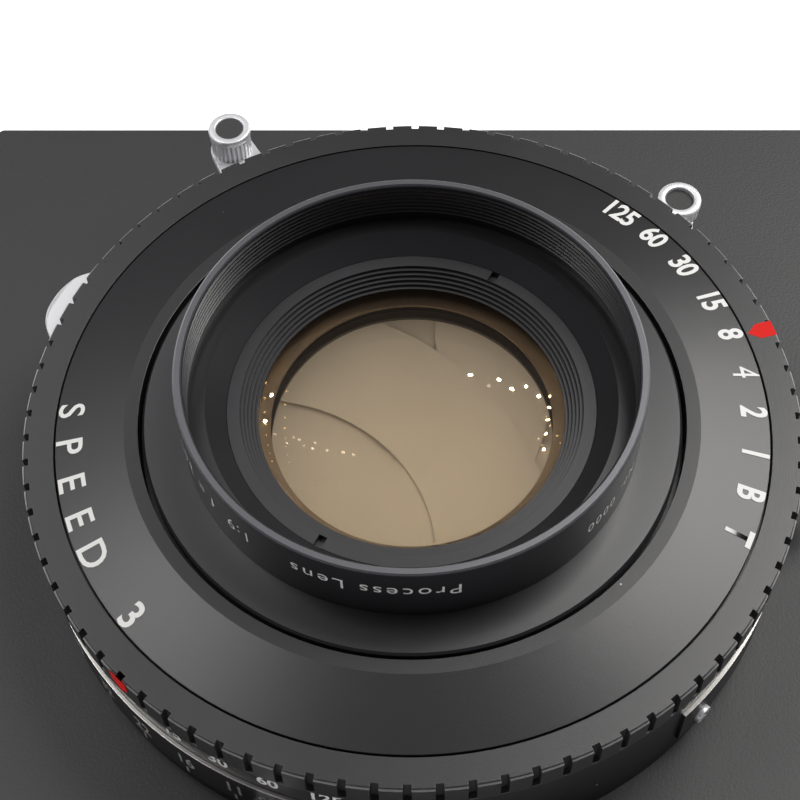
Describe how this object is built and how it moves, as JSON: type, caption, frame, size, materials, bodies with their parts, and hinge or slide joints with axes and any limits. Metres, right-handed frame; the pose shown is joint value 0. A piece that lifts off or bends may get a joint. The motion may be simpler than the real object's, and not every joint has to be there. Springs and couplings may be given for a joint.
{
  "type": "process lens in leaf shutter",
  "caption": "Large-format process lens in a notched-ring leaf shutter with levers and aperture scale, clamped to a flat square lens board.",
  "frame": {"origin": "on the optical axis at the rim of the rear barrel, the lowest face", "axes": "+Z along the optical axis out of the front of the lens; X and Y along the edges of the square board, -Y towards the edge nearest the aperture scale"},
  "size_m": [0.14, 0.14, 0.0534],
  "materials": {
    "board_black": "fine matt black paint",
    "shutter_black": "satin black enamel",
    "ring_black": "satin black anodised",
    "face_black": "satin black enamel",
    "barrel_black": "semi-gloss black anodised",
    "matt_black": "matt black anodised",
    "plate_black": "satin black with engraved figures",
    "steel": "plain",
    "satin_steel": "satin chromed",
    "tab_chrome": "polished",
    "brass": "plain",
    "blade_dark": "blued",
    "inlay_black": "matt",
    "coated_glass": "polished, coated",
    "figure_white": "white paint filled into the figures and scale marks",
    "index_red": "red paint of the two index marks"
  },
  "bodies": {
    "lens_and_shutter": {"lens_board": "board_black", "board_lock_ring": "board_black", "board_index_pin": "steel", "shutter_housing": "shutter_black", "mechanism_plate": "steel", "plate_snap_ring": "steel", "ring_carrier": "shutter_black", "face_plate": "face_black", "face_plate_nut": "steel", "front_barrel": "barrel_black", "front_keeper": "matt_black", "front_outer_glass": "coated_glass", "front_inner_glass": "coated_glass", "front_spacer": "matt_black", "rear_barrel": "barrel_black", "rear_keeper": "matt_black", "rear_outer_glass": "coated_glass", "rear_inner_glass": "coated_glass", "rear_spacer": "matt_black", "blade_divider": "matt_black", "shutter_blade_pivots": "steel", "release_stud": "steel", "release_spring": "steel", "gear_posts": "steel", "aperture_scale_plate": "plate_black", "side_cover_plate": "plate_black", "side_plate_screws": "satin_steel", "carrier_screws": "steel", "cable_release_socket": "satin_steel", "flash_contact_shell": "satin_steel", "flash_contact_pin": "brass"},
    "speed_ring": {"speed_ring": "ring_black", "speed_cam": "steel"},
    "cocking_lever": {"cocking_ring": "steel", "cocking_lever": "satin_steel", "cocking_knob": "satin_steel", "cocking_knob_inlay": "inlay_black"},
    "release_lever": {"release_lever": "satin_steel", "release_knob": "satin_steel", "release_knob_inlay": "inlay_black"},
    "iris_ring": {"iris_ring": "steel", "aperture_pointer": "steel"},
    "press_focus_lever": {"press_focus_ring": "steel", "press_focus_lever": "tab_chrome"},
    "sector_ring": {"sector_ring": "steel"},
    "retard_gear": {"retard_gear": "brass"},
    "escape_wheel": {"escape_wheel": "brass"},
    "retard_pallet": {"retard_pallet": "steel"},
    "iris_blade_1": {"iris_blade_1": "blade_dark"},
    "iris_blade_2": {"iris_blade_2": "blade_dark"},
    "iris_blade_3": {"iris_blade_3": "blade_dark"},
    "iris_blade_4": {"iris_blade_4": "blade_dark"},
    "iris_blade_5": {"iris_blade_5": "blade_dark"},
    "iris_blade_6": {"iris_blade_6": "blade_dark"},
    "iris_blade_7": {"iris_blade_7": "blade_dark"},
    "shutter_blade_1": {"shutter_blade_1": "blade_dark"},
    "shutter_blade_2": {"shutter_blade_2": "blade_dark"},
    "shutter_blade_3": {"shutter_blade_3": "blade_dark"},
    "shutter_blade_4": {"shutter_blade_4": "blade_dark"},
    "shutter_blade_5": {"shutter_blade_5": "blade_dark"}
  },
  "joints": [
    {"name": "speed_setting", "type": "hinge", "parent": "lens_and_shutter", "child": "speed_ring", "pos_m": [0, 0, 0.0385], "axis": [0, 0, 1], "range_deg": [-39.2, 33.3]},
    {"name": "aperture_setting", "type": "hinge", "parent": "lens_and_shutter", "child": "iris_ring", "pos_m": [0, 0, 0.0216], "axis": [0, 0, 1], "range_deg": [-54, 0]},
    {"name": "iris_blade_1_swing", "type": "hinge", "parent": "lens_and_shutter", "child": "iris_blade_1", "pos_m": [0.0365, 0, 0.0225], "axis": [0, 0, 1], "range_deg": [0, 33.4]},
    {"name": "iris_blade_2_swing", "type": "hinge", "parent": "lens_and_shutter", "child": "iris_blade_2", "pos_m": [0.02276, 0.02854, 0.0228], "axis": [0, 0, 1], "range_deg": [0, 33.4]},
    {"name": "iris_blade_3_swing", "type": "hinge", "parent": "lens_and_shutter", "child": "iris_blade_3", "pos_m": [-0.00812, 0.03558, 0.0231], "axis": [0, 0, 1], "range_deg": [0, 33.4]},
    {"name": "iris_blade_4_swing", "type": "hinge", "parent": "lens_and_shutter", "child": "iris_blade_4", "pos_m": [-0.03289, 0.01584, 0.0234], "axis": [0, 0, 1], "range_deg": [0, 33.4]},
    {"name": "iris_blade_5_swing", "type": "hinge", "parent": "lens_and_shutter", "child": "iris_blade_5", "pos_m": [-0.03289, -0.01584, 0.0237], "axis": [0, 0, 1], "range_deg": [0, 33.4]},
    {"name": "iris_blade_6_swing", "type": "hinge", "parent": "lens_and_shutter", "child": "iris_blade_6", "pos_m": [-0.00812, -0.03558, 0.024], "axis": [0, 0, 1], "range_deg": [0, 33.4]},
    {"name": "iris_blade_7_swing", "type": "hinge", "parent": "lens_and_shutter", "child": "iris_blade_7", "pos_m": [0.02276, -0.02854, 0.0243], "axis": [0, 0, 1], "range_deg": [0, 33.4]},
    {"name": "press_focus_swing", "type": "hinge", "parent": "lens_and_shutter", "child": "press_focus_lever", "pos_m": [0, 0, 0.02915], "axis": [0, 0, 1], "range_deg": [-12, 0]},
    {"name": "sector_ring_turn", "type": "hinge", "parent": "lens_and_shutter", "child": "sector_ring", "pos_m": [0, 0, 0.0281], "axis": [0, 0, 1], "range_deg": [-4.07, 0]},
    {"name": "shutter_blade_1_swing", "type": "hinge", "parent": "lens_and_shutter", "child": "shutter_blade_1", "pos_m": [0.04, 0, 0.0259], "axis": [0, 0, 1], "range_deg": [-35.6, 0]},
    {"name": "shutter_blade_2_swing", "type": "hinge", "parent": "lens_and_shutter", "child": "shutter_blade_2", "pos_m": [0.01236, 0.03804, 0.0262], "axis": [0, 0, 1], "range_deg": [-35.6, 0]},
    {"name": "shutter_blade_3_swing", "type": "hinge", "parent": "lens_and_shutter", "child": "shutter_blade_3", "pos_m": [-0.03236, 0.02351, 0.0265], "axis": [0, 0, 1], "range_deg": [-35.6, 0]},
    {"name": "shutter_blade_4_swing", "type": "hinge", "parent": "lens_and_shutter", "child": "shutter_blade_4", "pos_m": [-0.03236, -0.02351, 0.0268], "axis": [0, 0, 1], "range_deg": [-35.6, 0]},
    {"name": "shutter_blade_5_swing", "type": "hinge", "parent": "lens_and_shutter", "child": "shutter_blade_5", "pos_m": [0.01236, -0.03804, 0.0271], "axis": [0, 0, 1], "range_deg": [-35.6, 0]},
    {"name": "cocking_swing", "type": "hinge", "parent": "lens_and_shutter", "child": "cocking_lever", "pos_m": [0, 0, 0.0326], "axis": [0, 0, 1], "range_deg": [-35, 0]},
    {"name": "retard_gear_turn", "type": "hinge", "parent": "lens_and_shutter", "child": "retard_gear", "pos_m": [-0.01317, -0.03618, 0.032], "axis": [0, 0, 1], "range_deg": [0, 350.5]},
    {"name": "escape_wheel_turn", "type": "hinge", "parent": "lens_and_shutter", "child": "escape_wheel", "pos_m": [-0.0059, -0.03804, 0.0336], "axis": [0, 0, 1], "range_deg": [-701, 0]},
    {"name": "retard_pallet_rock", "type": "hinge", "parent": "lens_and_shutter", "child": "retard_pallet", "pos_m": [0.00158, -0.03847, 0.0347], "axis": [0, 0, 1], "range_deg": [-4, 4]},
    {"name": "release_swing", "type": "hinge", "parent": "lens_and_shutter", "child": "release_lever", "pos_m": [0.03648, 0.02369, 0.034], "axis": [0, 0, 1], "range_deg": [-8, 0], "stiffness_Nm_per_rad": 0.15}
  ],
  "couplings": [
    {"joint": "iris_blade_1_swing", "follows": "aperture_setting", "ratio": -0.61667},
    {"joint": "iris_blade_2_swing", "follows": "aperture_setting", "ratio": -0.61667},
    {"joint": "iris_blade_3_swing", "follows": "aperture_setting", "ratio": -0.61667},
    {"joint": "iris_blade_4_swing", "follows": "aperture_setting", "ratio": -0.61667},
    {"joint": "iris_blade_5_swing", "follows": "aperture_setting", "ratio": -0.61667},
    {"joint": "iris_blade_6_swing", "follows": "aperture_setting", "ratio": -0.61667},
    {"joint": "iris_blade_7_swing", "follows": "aperture_setting", "ratio": -0.61667},
    {"joint": "sector_ring_turn", "follows": "press_focus_swing", "ratio": 0.3378},
    {"joint": "shutter_blade_1_swing", "follows": "press_focus_swing", "ratio": 2.9583},
    {"joint": "shutter_blade_2_swing", "follows": "press_focus_swing", "ratio": 2.9583},
    {"joint": "shutter_blade_3_swing", "follows": "press_focus_swing", "ratio": 2.9583},
    {"joint": "shutter_blade_4_swing", "follows": "press_focus_swing", "ratio": 2.9583},
    {"joint": "shutter_blade_5_swing", "follows": "press_focus_swing", "ratio": 2.9583},
    {"joint": "retard_gear_turn", "follows": "cocking_swing", "ratio": -10},
    {"joint": "escape_wheel_turn", "follows": "cocking_swing", "ratio": 20}
  ]
}
